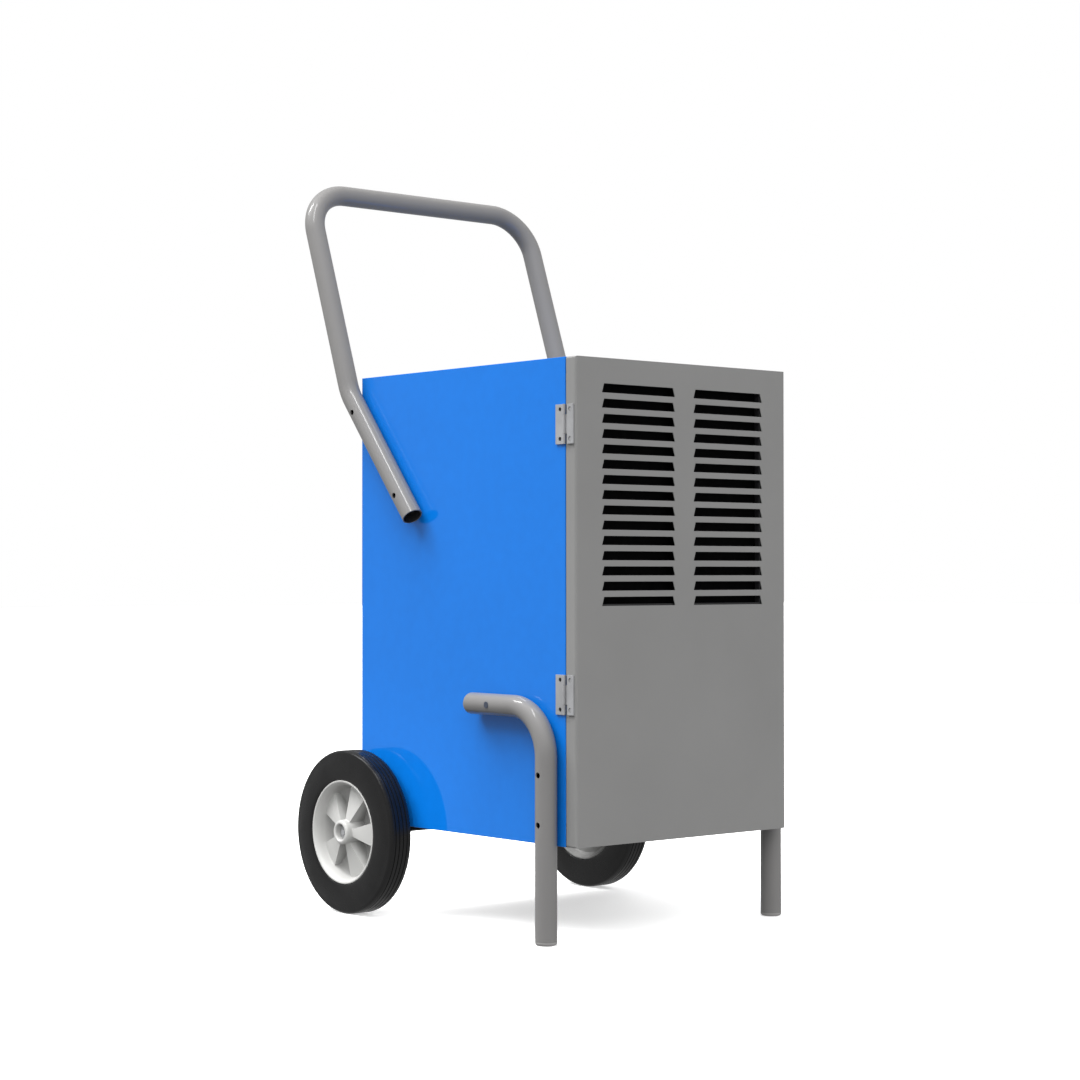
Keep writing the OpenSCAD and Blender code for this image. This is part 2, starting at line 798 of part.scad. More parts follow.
module filter_drier() {
    body_r = 9;
    cone = 10;
    in_cabinet() color("Peru") {
        translate([drier_x, drier_y, 0]) rotate_extrude($fn = round_fn) polygon([
            [0, drier_z[0]], [3, drier_z[0]], [body_r, drier_z[0] + cone],
            [body_r, drier_z[1] - cone], [pipe_r, drier_z[1]], [0, drier_z[1]]
        ]);
        bent_rod([
            [drier_x, drier_y, drier_z[1] - 2], [drier_x, drier_y, port_top],
            [drier_x, cond_y, port_top], [port_x, cond_y, port_top]
        ], [10, 9], pipe_r);
    }
}

module capillary_tube() {
    low = 540;
    in_cabinet() color("Peru") bent_rod([
        [drier_x, drier_y, drier_z[0] - 0.3], [drier_x, drier_y, low], [drier_x, capillary_y, low],
        [drier_x, capillary_y, port_top], [drier_x, evap_y, port_top], [port_x, evap_y, port_top]
    ], [6, 6, 5, 5], 2);
}

// ---- Fan ----

shroud_y = 165;
ring_d = 40;

module fan_shroud() {
    high = 672;
    in_cabinet() color("Silver") difference() {
        union() {
            block([-hw + 3, shroud_y, shelf_z + 2], [hw - 3, shroud_y + sheet, high]);
            translate([0, shroud_y, fan_z]) rotate([-90, 0, 0])
                cylinder(h = ring_d, r = fan_r + sheet, $fn = 96);
        }
        translate([0, shroud_y - eps, fan_z]) rotate([-90, 0, 0])
            cylinder(h = ring_d + 2 * eps, r = fan_r, $fn = 96);
    }
}

shaft_r = 4;

module fan_impeller() {
    hub_h = 30;
    fan_hub_r = 40;
    blade_tip = fan_r - 6;
    pitch = 17;
    in_cabinet() color("Black") translate([0, fan_y, fan_z]) rotate([-90, 0, 0]) difference() {
        union() {
            translate([0, 0, -hub_h / 2]) cylinder(h = hub_h, r = fan_hub_r, $fn = round_fn);
            for (k = [0:4]) intersection() {
                translate([0, 0, -20]) cylinder(h = 40, r = blade_tip, $fn = 96);
                rotate(72 * k) rotate([pitch, 0, 0])
                    block([fan_hub_r - 4, -44, -1.2], [fan_r, 44, 1.2]);
            }
        }
        translate([0, 0, -hub_h]) cylinder(h = 2 * hub_h, r = shaft_r + 0.06, $fn = round_fn);
    }
}

motor_y = [206, 276];

module fan_motor() {
    in_cabinet() color("DimGray") translate([0, 0, fan_z]) rotate([-90, 0, 0]) {
        translate([0, 0, motor_y[0]]) cylinder(h = motor_y[1] - motor_y[0], r = 42, $fn = 72);
        translate([0, 0, fan_y - 13]) cylinder(h = motor_y[0] - fan_y + 14, r = shaft_r, $fn = round_fn);
    }
}

module fan_motor_bracket() {
    arm_x = 166;
    half = 14;
    t = 3;
    in_cabinet() color("Silver") {
        block([-arm_x, motor_y[1], fan_z - half], [arm_x, motor_y[1] + t, fan_z + half]);
        both_sides() {
            block([arm_x - t, shroud_y + sheet, fan_z - half], [arm_x, motor_y[1] + t, fan_z + half]);
            block(
                [arm_x - t, shroud_y + sheet, fan_z - half],
                [arm_x + 18, shroud_y + sheet + t, fan_z + half]
            );
        }
    }
}

// ---- Water ----

spout_r = 6;
spout_drop = 10;

module drip_tray() {
    half = 182;
    front = 25;
    rear = 132;
    low = shelf_z + sheet;
    high = low + 22;
    wall = 1.5;
    in_cabinet() color("Gainsboro") difference() {
        union() {
            difference() {
                block([-half, front, low], [half, rear, high]);
                block([-half + wall, front + wall, low + wall], [half - wall, rear - wall, high + eps]);
            }
            translate([hose_hole[0], hose_hole[1], low - spout_drop])
                cylinder(h = spout_drop + wall, r = spout_r, $fn = round_fn);
        }
        translate([hose_hole[0], hose_hole[1], low - spout_drop - eps])
            cylinder(h = spout_drop + 10, r = spout_r - 1.5, $fn = round_fn);
    }
}

module drain_hose() {
    end_y = 335;
    end_z = 232;
    in_cabinet() color("LightGray") bent_rod([
        [hose_hole[0], hose_hole[1], 282], [hose_hole[0], hose_hole[1], hose_run_z],
        [hose_hole[0], end_y, hose_run_z], [hose_hole[0], end_y, end_z]
    ], [20, 14], 9, 6.3);
}

tank_half = tank_hw - 4;
tank_rim = 222;
tank_back = cab_d - 2;
post_r = 4;
post_top = 200;
grip_hw = 50;
grip_z = [165, 205];

module water_tank() {
    face_back = cab_d + 3;
    face_gap = 1.5;
    grip_front = cab_d - 26;
    floor_z = tank_low + tank_wall;
    in_cabinet() color("Gainsboro") {
        difference() {
            union() {
                difference() {
                    block([-tank_half, tank_front, tank_low], [tank_half, tank_back, tank_rim]);
                    block(
                        [-tank_half + tank_wall, tank_front + tank_wall, floor_z],
                        [tank_half - tank_wall, tank_back - tank_wall, tank_rim + eps]
                    );
                }
                block(
                    [-tank_hw + face_gap, tank_back - tank_wall, tank_low],
                    [tank_hw - face_gap, face_back, tank_top - face_gap]
                );
                block(
                    [-grip_hw - tank_wall, grip_front - tank_wall, grip_z[0] - tank_wall],
                    [grip_hw + tank_wall, tank_back, grip_z[1] + tank_wall]
                );
            }
            block([-grip_hw, grip_front, grip_z[0]], [grip_hw, face_back + eps, grip_z[1]]);
        }
        translate([float_x, float_y, floor_z - eps])
            cylinder(h = post_top - floor_z + eps, r = post_r, $fn = round_fn);
        translate([float_x, float_y, post_top]) cylinder(h = 3, r = post_r + 2, $fn = round_fn);
    }
}

module tank_float() {
    in_cabinet() color("Black") translate([float_x, float_y, tank_low + tank_wall + 0.3]) difference() {
        cylinder(h = 20, r = 22, $fn = round_fn);
        translate([0, 0, -eps]) cylinder(h = 20 + 2 * eps, r = post_r + 0.06, $fn = round_fn);
    }
}

module float_switch() {
    in_cabinet() color("Black") block([float_x - 15, bulkhead_y - 12, 150], [float_x + 15, bulkhead_y, 190]);
}

// ---- Controls ----

key_r = 9;
key_low = cab_h - 6;
power_key = [70, 438];
timer_key = [70, 402];
up_key = [30, 438];
down_key = [30, 402];
keys = [power_key, timer_key, up_key, down_key];
window_low = [-74, 404];
window_high = [-4, 436];

module control_panel() {
    gap = 0.6;
    rim = 8;
    low = cab_h - 4;
    in_cabinet() color("Black") difference() {
        union() {
            block([-panel_x + gap, panel_y[0] + gap, low], [panel_x - gap, panel_y[1] - gap, cab_h - 0.4]);
            block(
                [-panel_x - rim, panel_y[0] - rim, low],
                [panel_x + rim, panel_y[1] + rim, cab_h - sheet - 0.1]
            );
        }
        for (at = keys)
            translate([at[0], at[1], low - eps]) cylinder(h = 6, r = key_r + 0.3, $fn = round_fn);
        block(
            [window_low[0], window_low[1], low - eps],
            [window_high[0], window_high[1], cab_h + eps]
        );
    }
}

module display_window() {
    gap = 0.3;
    in_cabinet() color("Navy") block(
        [window_low[0] + gap, window_low[1] + gap, cab_h - 3.4],
        [window_high[0] - gap, window_high[1] - gap, cab_h - 0.8]
    );
}

module key(at) {
    edge = 0.8;
    top = 7;
    translate([at[0], at[1], key_low]) rotate_extrude($fn = round_fn)
        polygon([[0, 0], [key_r, 0], [key_r, top - edge], [key_r - edge, top], [0, top]]);
}

module power_button() in_cabinet() color("Green") key(power_key);
module up_button() in_cabinet() color("LightGray") key(up_key);
module down_button() in_cabinet() color("LightGray") key(down_key);
module timer_button() in_cabinet() color("LightGray") key(timer_key);

module control_board() {
    low = cab_h - 16;
    thick = 1.6;
    in_cabinet() color("DarkGreen") {
        block([-86, 384, low], [86, 456, low + thick]);
        for (x = [-80, 80], y = [390, 450])
            translate([x, y, low + thick - eps / 2]) cylinder(h = 10.9, r = 3, $fn = 24);
        for (at = keys)
            block([at[0] - 3, at[1] - 3, low + 1], [at[0] + 3, at[1] + 3, low + 6]);
        block([window_low[0], window_low[1], low + 1], [window_high[0], window_high[1], low + 9]);
    }
}

module power_inlet() {
    flange = [25, 14];
    body = [13.5, 11.5];
    well = [11.5, 8];
    face = cab_d + 3;
    in_cabinet() color("Black") difference() {
        union() {
            block(
                [inlet_x - flange[0], cab_d, socket_z - flange[1]],
                [inlet_x + flange[0], face, socket_z + flange[1]]
            );
            block(
                [inlet_x - body[0], cab_d - 30, socket_z - body[1]],
                [inlet_x + body[0], cab_d + eps, socket_z + body[1]]
            );
        }
        difference() {
            block(
                [inlet_x - well[0], face - 17, socket_z - well[1]],
                [inlet_x + well[0], face + eps, socket_z + well[1]]
            );
            for (pin = [[-7, 1], [0, 5], [7, 1]])
                block(
                    [inlet_x + pin[0] - 1, face - 18, socket_z + pin[1] - 1.5],
                    [inlet_x + pin[0] + 1, face - 2, socket_z + pin[1] + 1.5]
                );
        }
        for (x = [-20, 20])
            translate([inlet_x + x, cab_d - eps, socket_z]) rotate([-90, 0, 0])
                cylinder(h = 6, r = 1.7, $fn = 24);
    }
}

rocker_well = [11.3, 8.7];
rocker_pivot_y = cab_d + 0.5;

module rocker_bezel() {
    face = cab_d + 2.5;
    in_cabinet() color("Black") difference() {
        union() {
            block([rocker_x - 16, cab_d, socket_z - 13], [rocker_x + 16, face, socket_z + 13]);
            block(
                [rocker_x - 13.5, cab_d - 22, socket_z - 10.5],
                [rocker_x + 13.5, cab_d + eps, socket_z + 10.5]
            );
        }
        block(
            [rocker_x - rocker_well[0], cab_d - 16, socket_z - rocker_well[1]],
            [rocker_x + rocker_well[0], face + eps, socket_z + rocker_well[1]]
        );
        translate([rocker_x - 12.6, rocker_pivot_y, socket_z]) rotate([0, 90, 0])
            cylinder(h = 25.2, r = 1.55, $fn = 24);
    }
}

module rocker_switch() {
    rest_tilt = 8;
    half_w = 11;
    in_cabinet() color("Red") translate([rocker_x, rocker_pivot_y, socket_z]) rotate([rest_tilt, 0, 0]) {
        translate([-half_w, 0, 0]) rotate([90, 0, 90])
            linear_extrude(height = 2 * half_w)
                polygon([[-6, -6.9], [3.4, -7.4], [2.2, 0], [3.4, 7.4], [-6, 6.9]]);
        translate([-12.3, 0, 0]) rotate([0, 90, 0]) cylinder(h = 24.6, r = 1.5, $fn = 24);
    }
}

base_tray();
left_side_panel();
right_side_panel();
top_cover();
rear_panel();
divider_shelf();
tank_bulkhead();
panel_screws();
front_door();
hinge_body_leaves();
hinge_door_leaves();
hinge_pins();
hinge_body_screws();
hinge_door_screws();
door_magnets();
filter_frame();
filter_mesh();
handle_tube();
left_leg_tube();
right_leg_tube();
leg_foot_plugs();
tube_screws();
axle();
axle_brackets();
left_wheel_hub();
left_tyre();
right_wheel_hub();
right_tyre();
axle_spacers();
axle_end_screws();
evaporator_fins();
evaporator_coil();
condenser_fins();
condenser_coil();
coil_end_plates();
compressor();
compressor_grommets();
suction_pipe();
discharge_pipe();
filter_drier();
capillary_tube();
fan_shroud();
fan_impeller();
fan_motor();
fan_motor_bracket();
drip_tray();
drain_hose();
water_tank();
tank_float();
float_switch();
control_panel();
display_window();
power_button();
up_button();
down_button();
timer_button();
control_board();
power_inlet();
rocker_bezel();
rocker_switch();
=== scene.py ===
import json
import math

import bmesh
import bpy
from mathutils import Matrix, Vector


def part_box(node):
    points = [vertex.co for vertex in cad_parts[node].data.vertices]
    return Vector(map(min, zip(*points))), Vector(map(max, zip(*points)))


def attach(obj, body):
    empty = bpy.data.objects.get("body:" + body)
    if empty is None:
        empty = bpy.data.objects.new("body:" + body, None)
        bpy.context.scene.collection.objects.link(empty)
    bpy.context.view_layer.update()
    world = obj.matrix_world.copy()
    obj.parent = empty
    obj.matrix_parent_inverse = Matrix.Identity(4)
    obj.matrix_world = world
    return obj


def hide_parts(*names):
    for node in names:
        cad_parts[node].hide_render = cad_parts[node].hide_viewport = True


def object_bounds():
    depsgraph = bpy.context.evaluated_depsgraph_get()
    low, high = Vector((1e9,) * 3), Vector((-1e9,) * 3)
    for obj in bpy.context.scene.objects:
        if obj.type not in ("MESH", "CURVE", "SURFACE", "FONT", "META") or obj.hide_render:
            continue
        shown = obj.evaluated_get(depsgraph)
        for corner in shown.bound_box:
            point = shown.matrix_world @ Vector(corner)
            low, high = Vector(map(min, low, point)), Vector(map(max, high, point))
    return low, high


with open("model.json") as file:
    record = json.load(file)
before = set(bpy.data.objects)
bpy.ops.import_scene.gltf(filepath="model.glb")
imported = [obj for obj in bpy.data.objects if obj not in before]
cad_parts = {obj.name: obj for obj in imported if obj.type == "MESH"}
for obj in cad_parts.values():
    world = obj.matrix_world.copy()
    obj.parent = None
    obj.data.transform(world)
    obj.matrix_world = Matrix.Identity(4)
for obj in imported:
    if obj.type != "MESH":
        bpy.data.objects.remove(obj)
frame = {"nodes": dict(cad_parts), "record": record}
scene = bpy.context.scene
cad_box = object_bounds()

# ---- Frame ----
# The pieces are made in millimetres in cabinet coordinates: x from the middle, y back from
# the door seam and z up from the cabinet's underside. CABINET takes them to the shared
# frame, which is in metres. Relief, lights and the camera are in metres from the start.

MM = 0.001
DOOR_DEPTH = 22
door_low, door_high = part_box("front_door")
CABINET = Matrix.Translation((0, door_low.y + DOOR_DEPTH * MM, door_low.z)) @ Matrix.Scale(MM, 4)
TO_CABINET = CABINET.inverted()
HALF_WIDTH = door_high.x / MM
UNDERSIDE_LIFT = door_low.z / MM

TUBE_R = 16
TUBE_WALL = 2
TUBE_INNER_R = TUBE_R - TUBE_WALL
TUBE_X = HALF_WIDTH + TUBE_R
TUBE_BEND = 72
SCREW_ACCESS_R = 4.5
WHEEL_IN = HALF_WIDTH + 13

# The sign of x on each side, named as a person who faces the door sees it.
SIDES = {-1: "left", 1: "right"}

slot_of = {part["node"]: part["material_slot"] for part in frame["record"]["subparts"]}
body_of = {node: body for body, nodes in frame["record"]["behaviour"]["bodies"].items() for node in nodes}


# ---- Materials ----

# Numbers of the Mix node's sockets for colours, whose names its other data types share.
MIX_FACTOR, MIX_A, MIX_B, MIX_RESULT = 0, 6, 7, 2


def shade(colour, factor):
    """The colour times the factor, opaque."""
    return (*[min(1.0, channel * factor) for channel in colour], 1.0)


class Look:
    """A procedural material: noise-driven colour, roughness and bump over a principled shader."""

    def __init__(self, name, metallic=0.0, **sockets):
        self.material = bpy.data.materials.new(name)
        self.material.use_nodes = True
        self.tree = self.material.node_tree
        self.shader = self.tree.nodes["Principled BSDF"]
        self.shader.inputs["Metallic"].default_value = metallic
        for socket, value in sockets.items():
            self.shader.inputs[socket.replace("_", " ")].default_value = value
        self.coordinates = self.node("ShaderNodeTexCoord").outputs["Object"]
        self.height = None

    def node(self, kind, **settings):
        """A new node of that kind, with its settings."""
        made = self.tree.nodes.new(kind)
        for name, value in settings.items():
            setattr(made, name, value)
        return made

    def link(self, output, target):
        self.tree.links.new(output, target)

    def stretched(self, scale):
        """The object's coordinates times a scale for each axis."""
        mapping = self.node("ShaderNodeMapping")
        mapping.inputs["Scale"].default_value = scale
        self.link(self.coordinates, mapping.inputs["Vector"])
        return mapping.outputs["Vector"]

    def noise(self, scale, detail=3.0, stretch=None):
        """A noise value, mostly from 0.3 to 0.7."""
        made = self.node("ShaderNodeTexNoise")
        made.inputs["Scale"].default_value = scale
        made.inputs["Detail"].default_value = detail
        made.inputs["Roughness"].default_value = 0.55
        self.link(self.stretched(stretch) if stretch else self.coordinates, made.inputs["Vector"])
        return made.outputs["Fac"]

    def spread(self, value, low, high, start=0.3, end=0.7):
        """A number that goes from low to high as the value goes from start to end."""
        made = self.node("ShaderNodeMapRange")
        for socket, number in (("From Min", start), ("From Max", end), ("To Min", low), ("To Max", high)):
            made.inputs[socket].default_value = number
        self.link(value, made.inputs["Value"])
        return made.outputs["Result"]

    def colours(self, value, dark, light, start=0.3, end=0.7):
        """A colour that goes from dark to light as the value goes from start to end."""
        ramp = self.node("ShaderNodeValToRGB")
        ramp.color_ramp.elements[0].position = start
        ramp.color_ramp.elements[0].color = dark
        ramp.color_ramp.elements[1].position = end
        ramp.color_ramp.elements[1].color = light
        self.link(value, ramp.inputs["Fac"])
        return ramp.outputs["Color"]

    def tones(self, value, colour, dark, light, **ends):
        """The colour times a factor that goes from dark to light as the value rises."""
        return self.colours(value, shade(colour, dark), shade(colour, light), **ends)

    def over(self, below, above, mask):
        """The colour above where the mask is 1, and the one below where it is 0."""
        mix = self.node("ShaderNodeMix", data_type="RGBA")
        self.link(mask, mix.inputs[MIX_FACTOR])
        self.link(below, mix.inputs[MIX_A])
        self.link(above, mix.inputs[MIX_B])
        return mix.outputs[MIX_RESULT]

    def paint(self, colour_output):
        self.link(colour_output, self.shader.inputs["Base Color"])

    def gloss(self, roughness_output):
        self.link(roughness_output, self.shader.inputs["Roughness"])

    def bump(self, value, depth):
        """Adds relief of that depth in metres under the relief added before."""
        made = self.node("ShaderNodeBump")
        made.inputs["Distance"].default_value = depth
        self.link(value, made.inputs["Height"])
        if self.height is not None:
            self.link(self.height, made.inputs["Normal"])
        self.height = made.outputs["Normal"]
        self.link(self.height, self.shader.inputs["Normal"])

    def worn_edges(self, below, above, amount, start=0.53, end=0.62):
        """The colour above along edges, where a piece is handled and rubbed."""
        pointiness = self.node("ShaderNodeNewGeometry").outputs["Pointiness"]
        return self.over(below, above, self.spread(pointiness, 0.0, amount, start, end))


def painted(
    name, colour, roughness=0.36, variation=0.04, orange_peel=0.00004, coat=0.0, coat_roughness=0.18,
    specular=0.5, wear=0.5
):
    """Painted sheet or tube with orange peel, paler where its edges are worn."""
    look = Look(name, Coat_Weight=coat, Coat_Roughness=coat_roughness, Specular_IOR_Level=specular)
    base = look.tones(look.noise(5, detail=4), colour, 1 - variation, 1 + variation)
    rubbed = look.tones(look.noise(60), colour, 1.2, 1.45)
    look.paint(look.worn_edges(base, rubbed, wear) if wear else base)
    look.gloss(look.spread(look.noise(22, detail=5), roughness - 0.05, roughness + 0.07))
    look.bump(look.noise(620, detail=2), orange_peel)
    look.bump(look.noise(14, detail=2), orange_peel * 3)
    return look.material


def moulded(name, colour, roughness=0.45, variation=0.06, grain=0.00004, grain_scale=1500, **sockets):
    """Moulded plastic with a fine grain."""
    look = Look(name, **sockets)
    look.paint(look.tones(look.noise(16, detail=5), colour, 1 - variation, 1 + variation))
    look.gloss(look.spread(look.noise(70, detail=4), roughness - 0.06, roughness + 0.1))
    look.bump(look.noise(grain_scale, detail=3), grain)
    look.bump(look.noise(30, detail=2), grain)
    return look.material


def hub_with_painted_shade(name, colour, deep, shallow):
    """Moulded plastic with painted shade, darker towards the cabinet: in its pockets and on its inner face.

    The painted shade is full at deep millimetres from the cabinet's middle and gone at shallow.
    """
    look = Look(name)
    unshaded = look.tones(look.noise(16, detail=5), colour, 0.97, 1.03)
    # Painted shade: a darker tone of the plastic in the pockets and on the inner face, standing in for their
    # shade.
    dust = look.tones(look.noise(55, detail=6), colour, 0.5, 0.68)
    split = look.node("ShaderNodeSeparateXYZ")
    look.link(look.coordinates, split.inputs["Vector"])
    distance = look.node("ShaderNodeMath", operation="ABSOLUTE")
    look.link(split.outputs["X"], distance.inputs[0])
    shade_amount = look.spread(distance.outputs[0], 1.0, 0.0, start=deep * MM, end=shallow * MM)
    look.paint(look.over(unshaded, dust, shade_amount))
    look.gloss(look.spread(look.noise(70, detail=4), 0.36, 0.52))
    look.bump(look.noise(900, detail=3), 0.00004)
    look.bump(look.noise(30, detail=2), 0.00004)
    return look.material


def bare_metal(name, colour, roughness=0.32, stretch=(6, 6, 140), metallic=1.0):
    """Metal with fine scratches, which run across the largest stretch."""
    look = Look(name, metallic=metallic)
    look.paint(look.tones(look.noise(24, detail=5), colour, 0.82, 1.08))
    look.gloss(look.spread(look.noise(30, detail=6, stretch=stretch), roughness - 0.09, roughness + 0.14))
    look.bump(look.noise(30, detail=4, stretch=stretch), 0.00002)
    return look.material


def galvanised(name):
    """Zinc spangle: large flat crystals of slightly different greys."""
    look = Look(name, metallic=0.55)
    crystals = look.node("ShaderNodeTexVoronoi")
    crystals.inputs["Scale"].default_value = 85
    look.link(look.coordinates, crystals.inputs["Vector"])
    split = look.node("ShaderNodeSeparateColor")
    look.link(crystals.outputs["Color"], split.inputs["Color"])
    look.paint(look.colours(split.outputs[0], (0.36, 0.38, 0.40, 1), (0.62, 0.63, 0.65, 1), start=0, end=1))
    look.gloss(look.spread(split.outputs[1], 0.3, 0.52, start=0, end=1))
    look.bump(look.noise(240, detail=3), 0.00003)
    return look.material


def rubber(name, colour, roughness=0.62, scuff=0.5, specular=0.25):
    """Rubber with patches of pale dust."""
    look = Look(name, Specular_IOR_Level=specular)
    base = look.tones(look.noise(28, detail=6), colour, 0.75, 1.25)
    dust = look.tones(look.noise(9, detail=5), colour, 1.6, 2.3)
    patches = look.spread(look.noise(11, detail=7), 0.0, scuff, start=0.5, end=0.75)
    look.paint(look.over(base, dust, patches))
    look.gloss(look.spread(look.noise(45, detail=5), roughness - 0.12, roughness + 0.12))
    look.bump(look.noise(1300, detail=3), 0.00006)
    look.bump(look.noise(90, detail=3), 0.00005)
    return look.material


# The Wave texture's bands repeat once in this length divided by its scale.
WAVE_TURN = math.pi / 10


def net(name, pitch, colour):
    """Woven net: crossed threads, a pitch in metres apart, as relief and shade."""
    look = Look(name, Specular_IOR_Level=0.05)
    threads = []
    for axis in ("X", "Z"):
        wave = look.node("ShaderNodeTexWave", bands_direction=axis)
        wave.inputs["Scale"].default_value = WAVE_TURN / pitch
        look.link(look.coordinates, wave.inputs["Vector"])
        threads.append(wave.outputs["Fac"])
    top = look.node("ShaderNodeMath", operation="MAXIMUM")
    look.link(threads[0], top.inputs[0])
    look.link(threads[1], top.inputs[1])
    look.paint(look.tones(top.outputs[0], colour, 0.3, 1, start=0.55, end=0.9))
    look.gloss(look.spread(look.noise(50), 0.6, 0.85))
    look.bump(top.outputs[0], 0.0004)
    return look.material


def fin_stack(name, colour):
    """Bare aluminium fins, their faces slightly wavy."""
    look = Look(name, metallic=1.0)
    look.paint(look.tones(look.noise(60, detail=5, stretch=(1, 1, 8)), colour, 0.7, 1.05))
    look.gloss(look.spread(look.noise(200, detail=3), 0.32, 0.5))
    look.bump(look.noise(160, detail=3, stretch=(1, 1, 6)), 0.00008)
    return look.material


def circuit(name):
    """Green board with tracks between blocks."""
    look = Look(name, Coat_Weight=0.4)
    tracks = look.node("ShaderNodeTexBrick")
    tracks.inputs["Scale"].default_value = 260
    look.link(look.coordinates, tracks.inputs["Vector"])
    tracks.inputs["Color1"].default_value = (0.006, 0.075, 0.025, 1)
    tracks.inputs["Color2"].default_value = (0.008, 0.095, 0.03, 1)
    tracks.inputs["Mortar"].default_value = (0.02, 0.16, 0.05, 1)
    look.paint(tracks.outputs["Color"])
    look.gloss(look.spread(look.noise(300), 0.25, 0.45))
    look.bump(look.noise(500), 0.00004)
    return look.material


def smoked_glass(name):
    """Near-black window under a clear gloss."""
    look = Look(name, Coat_Weight=1.0, Coat_Roughness=0.03)
    look.paint(look.colours(look.noise(9, detail=3), (0.004, 0.006, 0.009, 1), (0.008, 0.012, 0.018, 1)))
    look.gloss(look.spread(look.noise(120, detail=5), 0.05, 0.14))
    look.bump(look.noise(40, detail=2), 0.00001)
    return look.material


LOOKS = {
    "blue_paint": painted(
        "BluePaint", (0.002, 0.128, 0.50), roughness=0.5, variation=0.03, coat=1.0, coat_roughness=0.02,
        specular=0.0,
    ),
    "grey_paint": painted(
        "GreyPaint", (0.193, 0.193, 0.191), roughness=0.45, variation=0.035, specular=0.25
    ),
    "tube_paint": painted(
        "TubePaint", (0.165, 0.162, 0.16), roughness=0.34, variation=0.03, orange_peel=0.000008, coat=0.5,
        coat_roughness=0.05, specular=0.2, wear=0,
    ),
    "foot_plastic": moulded("FootPlastic", (0.26, 0.255, 0.25), roughness=0.5),
    "dark_steel": painted(
        "DarkSteel", (0.022, 0.022, 0.024), roughness=0.42, variation=0.12, orange_peel=0.00005
    ),
    "galvanised_steel": galvanised("GalvanisedSteel"),
    "zinc_plate": bare_metal("ZincPlate", (0.375, 0.38, 0.39), roughness=0.42, metallic=0.4),
    "blued_steel": bare_metal("BluedSteel", (0.075, 0.09, 0.125), roughness=0.4, metallic=0.5),
    "black_oxide": bare_metal("BlackOxide", (0.01, 0.01, 0.012), roughness=0.5, metallic=0.3),
    "black_plastic": moulded(
        "BlackPlastic", (0.014, 0.014, 0.015), roughness=0.5, variation=0.15, grain=0.00006
    ),
    "magnet_ferrite": moulded(
        "MagnetFerrite", (0.035, 0.034, 0.033), roughness=0.62, variation=0.2, grain=0.0001, grain_scale=700
    ),
    "filter_net": net("FilterNet", 0.0016, (0.0016, 0.0016, 0.0017)),
    # Painted shade darkens the hub's pockets and inner face.
    "hub_plastic": hub_with_painted_shade("HubPlastic", (0.375, 0.375, 0.366), WHEEL_IN + 15, WHEEL_IN + 27),
    "tyre_rubber": rubber(
        "TyreRubber", (0.004, 0.004, 0.0042), roughness=0.32, scuff=0.2, specular=0.4
    ),
    "fin_aluminium": fin_stack("FinAluminium", (0.84, 0.85, 0.86)),
    "copper": bare_metal("Copper", (0.72, 0.36, 0.21), roughness=0.3, stretch=(60, 60, 60)),
    "black_enamel": painted(
        "BlackEnamel", (0.012, 0.012, 0.013), roughness=0.2, variation=0.15, orange_peel=0.00006, coat=0.7
    ),
    "grommet_rubber": rubber("GrommetRubber", (0.02, 0.02, 0.02), roughness=0.7, scuff=0.3),
    "motor_paint": painted("MotorPaint", (0.085, 0.087, 0.095), roughness=0.4, variation=0.06),
    "tray_plastic": moulded(
        "TrayPlastic", (0.56, 0.575, 0.59), roughness=0.4, variation=0.03, grain=0.00005, grain_scale=1100,
        Subsurface_Weight=0.1,
    ),
    "hose_rubber": rubber("HoseRubber", (0.3, 0.3, 0.3), roughness=0.45, scuff=0.1),
    "display_glass": smoked_glass("DisplayGlass"),
    "green_key": moulded("GreenKey", (0.014, 0.17, 0.045), roughness=0.3, variation=0.05),
    "grey_key": moulded("GreyKey", (0.13, 0.13, 0.128), roughness=0.35, variation=0.05),
    "circuit_board": circuit("CircuitBoard"),
    "red_rocker": moulded("RedRocker", (0.5, 0.012, 0.012), roughness=0.25, variation=0.05),
}


# ---- Mesh tools ----

# Points of a CAD solid closer than WELD metres are joined, faces that meet at less than
# FLAT_ANGLE become one, and edges sharper than HARD_ANGLE are rounded.
WELD = 1e-6
FLAT_ANGLE = math.radians(0.6)
HARD_ANGLE = math.radians(35)


def piece(name, bm, look, body, sharp=32, nodes=(), cabinet=True, bore_shade_look=None):
    """Makes the mesh an object that rides on the body and stands for the nodes.

    Edges sharper than sharp degrees shade as edges. The mesh is in cabinet coordinates, or in
    the shared frame where cabinet is false.
    """
    if cabinet:
        bmesh.ops.transform(bm, matrix=CABINET, verts=bm.verts)
    mesh = bpy.data.meshes.new(name)
    bm.to_mesh(mesh)
    bm.free()
    mesh.polygons.foreach_set("use_smooth", [True] * len(mesh.polygons))
    mesh.set_sharp_from_angle(angle=math.radians(sharp))
    mesh.materials.append(LOOKS[look])
    # The second look paints shade: near-black inside a tube's bore.
    if bore_shade_look:
        mesh.materials.append(LOOKS[bore_shade_look])
    made = bpy.data.objects.new(name, mesh)
    scene.collection.objects.link(made)
    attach(made, body)
    if nodes:
        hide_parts(*nodes)
    return made


